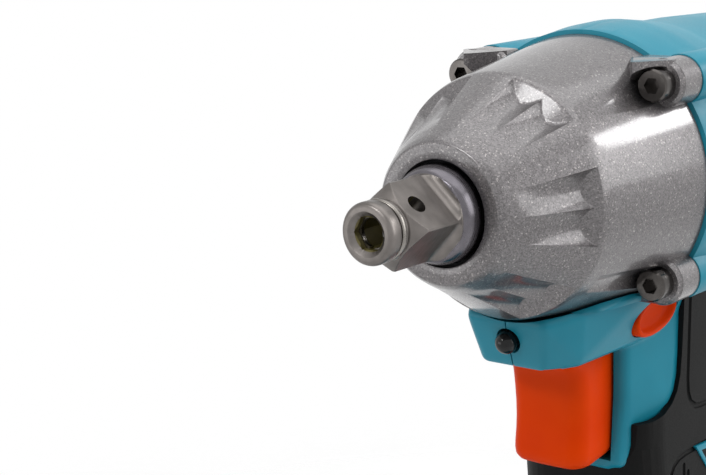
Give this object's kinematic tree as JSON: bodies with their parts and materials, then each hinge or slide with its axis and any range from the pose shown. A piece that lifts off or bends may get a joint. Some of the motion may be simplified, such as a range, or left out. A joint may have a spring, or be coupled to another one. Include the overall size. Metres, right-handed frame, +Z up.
{
  "type": "cordless impact wrench",
  "caption": "Compact cordless impact wrench with a square drive and hex socket, hammer mechanism, planetary gear, trigger grip and slide-on battery.",
  "frame": {"origin": "middle of the battery's flat base", "axes": "+Z up, the anvil points to -Y, +X is the tool's left side"},
  "size_m": [0.075, 0.154, 0.238],
  "materials": {
    "steel": "ground steel",
    "dark_steel": "blackened steel",
    "spring_steel": "drawn steel",
    "case_silver": "metallic silver paint on cast aluminium",
    "bronze": "sintered bronze",
    "seal_felt": "oiled felt",
    "teal_plastic": "moulded, fine grain",
    "grip_rubber": "soft matt rubber",
    "red_plastic": "moulded, satin",
    "black_plastic": "moulded, fine grain",
    "clear_lens": "clear",
    "board": "coated board",
    "copper": "enamelled copper wire",
    "contact_brass": "tinned brass",
    "red_wire": "wire insulation",
    "blue_wire": "wire insulation",
    "cell_sleeve": "shrink sleeve",
    "nickel": "plain nickel"
  },
  "bodies": {
    "tool": {"hammer_case": "case_silver", "case_screws": "dark_steel", "nose_seal": "seal_felt", "nose_bushing": "bronze", "thrust_washer": "steel", "ring_gear": "steel", "gearbox_plate": "black_plastic", "spindle_bearing": "steel", "front_motor_bearing": "steel", "rear_motor_bearing": "steel", "stator": "dark_steel", "stator_coils": "copper", "stator_frames": "black_plastic", "motor_board": "board", "housing_left": "teal_plastic", "housing_right": "teal_plastic", "housing_screws": "dark_steel", "grip_left": "grip_rubber", "grip_right": "grip_rubber", "switch_module": "black_plastic", "trigger_spring": "spring_steel", "led_lens": "clear_lens", "led_board": "board", "control_board": "board", "terminal_block": "black_plastic", "contact_blades": "contact_brass", "power_leads": "red_wire", "motor_leads": "blue_wire"},
    "spindle_body": {"spindle": "steel", "planet_pins": "steel", "spring_washer": "steel", "hammer_spring": "spring_steel", "hammer_balls": "steel"},
    "hammer_body": {"hammer": "dark_steel"},
    "anvil_body": {"anvil": "steel", "friction_ring": "spring_steel", "bit_ring": "spring_steel"},
    "planet_1": {"planet_gear_1": "steel"},
    "planet_2": {"planet_gear_2": "steel"},
    "planet_3": {"planet_gear_3": "steel"},
    "rotor_body": {"motor_shaft": "steel", "motor_pinion": "steel", "rotor": "dark_steel", "fan": "black_plastic"},
    "trigger_body": {"trigger": "red_plastic"},
    "button_body": {"direction_button": "red_plastic"},
    "lever_body": {"direction_lever": "black_plastic"},
    "battery": {"battery_top_shell": "black_plastic", "battery_bottom_shell": "black_plastic", "battery_cells": "cell_sleeve", "cell_holders": "black_plastic", "cell_straps": "nickel", "battery_board": "board", "battery_contacts": "contact_brass", "latch_spring": "spring_steel", "battery_screws": "dark_steel"},
    "latch_body": {"battery_latch": "red_plastic"}
  },
  "joints": [
    {"name": "spindle_spin", "type": "hinge", "parent": "tool", "child": "spindle_body", "pos_m": [0, -0.005, 0.205], "axis": [0, 1, 0], "continuous": true},
    {"name": "anvil_spin", "type": "hinge", "parent": "tool", "child": "anvil_body", "pos_m": [0, -0.065, 0.205], "axis": [0, 1, 0], "continuous": true},
    {"name": "hammer_slide", "type": "slide", "parent": "spindle_body", "child": "hammer_body", "axis": [0, 1, 0], "range_m": [0, 0.008], "stiffness_N_per_m": 9000, "springref_m": -0.006, "deforming": ["hammer_spring"]},
    {"name": "rotor_spin", "type": "hinge", "parent": "tool", "child": "rotor_body", "pos_m": [0, 0.025, 0.205], "axis": [0, 1, 0], "continuous": true},
    {"name": "planet_1_spin", "type": "hinge", "parent": "spindle_body", "child": "planet_1", "pos_m": [0.0135, -0.0105, 0.205], "axis": [0, 1, 0], "continuous": true},
    {"name": "planet_2_spin", "type": "hinge", "parent": "spindle_body", "child": "planet_2", "pos_m": [-0.00675, -0.0105, 0.19331], "axis": [0, 1, 0], "continuous": true},
    {"name": "planet_3_spin", "type": "hinge", "parent": "spindle_body", "child": "planet_3", "pos_m": [-0.00675, -0.0105, 0.21669], "axis": [0, 1, 0], "continuous": true},
    {"name": "trigger_pull", "type": "slide", "parent": "tool", "child": "trigger_body", "axis": [0, 1, 0], "range_m": [0, 0.007], "stiffness_N_per_m": 600, "springref_m": -0.004, "deforming": ["trigger_spring"]},
    {"name": "direction_slide", "type": "slide", "parent": "tool", "child": "button_body", "axis": [1, 0, 0], "range_m": [-0.0035, 0.0035]},
    {"name": "lever_swing", "type": "hinge", "parent": "tool", "child": "lever_body", "pos_m": [0, 0.0015, 0.167], "axis": [0, 0, 1], "range_deg": [-18, 18]},
    {"name": "battery_slide", "type": "slide", "parent": "tool", "child": "battery", "axis": [0, -1, 0], "range_m": [0, 0.07]},
    {"name": "latch_press", "type": "slide", "parent": "battery", "child": "latch_body", "axis": [0, 0, -1], "range_m": [0, 0.003], "stiffness_N_per_m": 1500, "springref_m": -0.002, "deforming": ["latch_spring"]}
  ],
  "couplings": [
    {"joint": "anvil_spin", "follows": "spindle_spin", "ratio": 1},
    {"joint": "rotor_spin", "follows": "spindle_spin", "ratio": 5},
    {"joint": "planet_1_spin", "follows": "spindle_spin", "ratio": -2.6667},
    {"joint": "planet_2_spin", "follows": "spindle_spin", "ratio": -2.6667},
    {"joint": "planet_3_spin", "follows": "spindle_spin", "ratio": -2.6667},
    {"joint": "lever_swing", "follows": "direction_slide", "rad_per_m": 83.333}
  ]
}
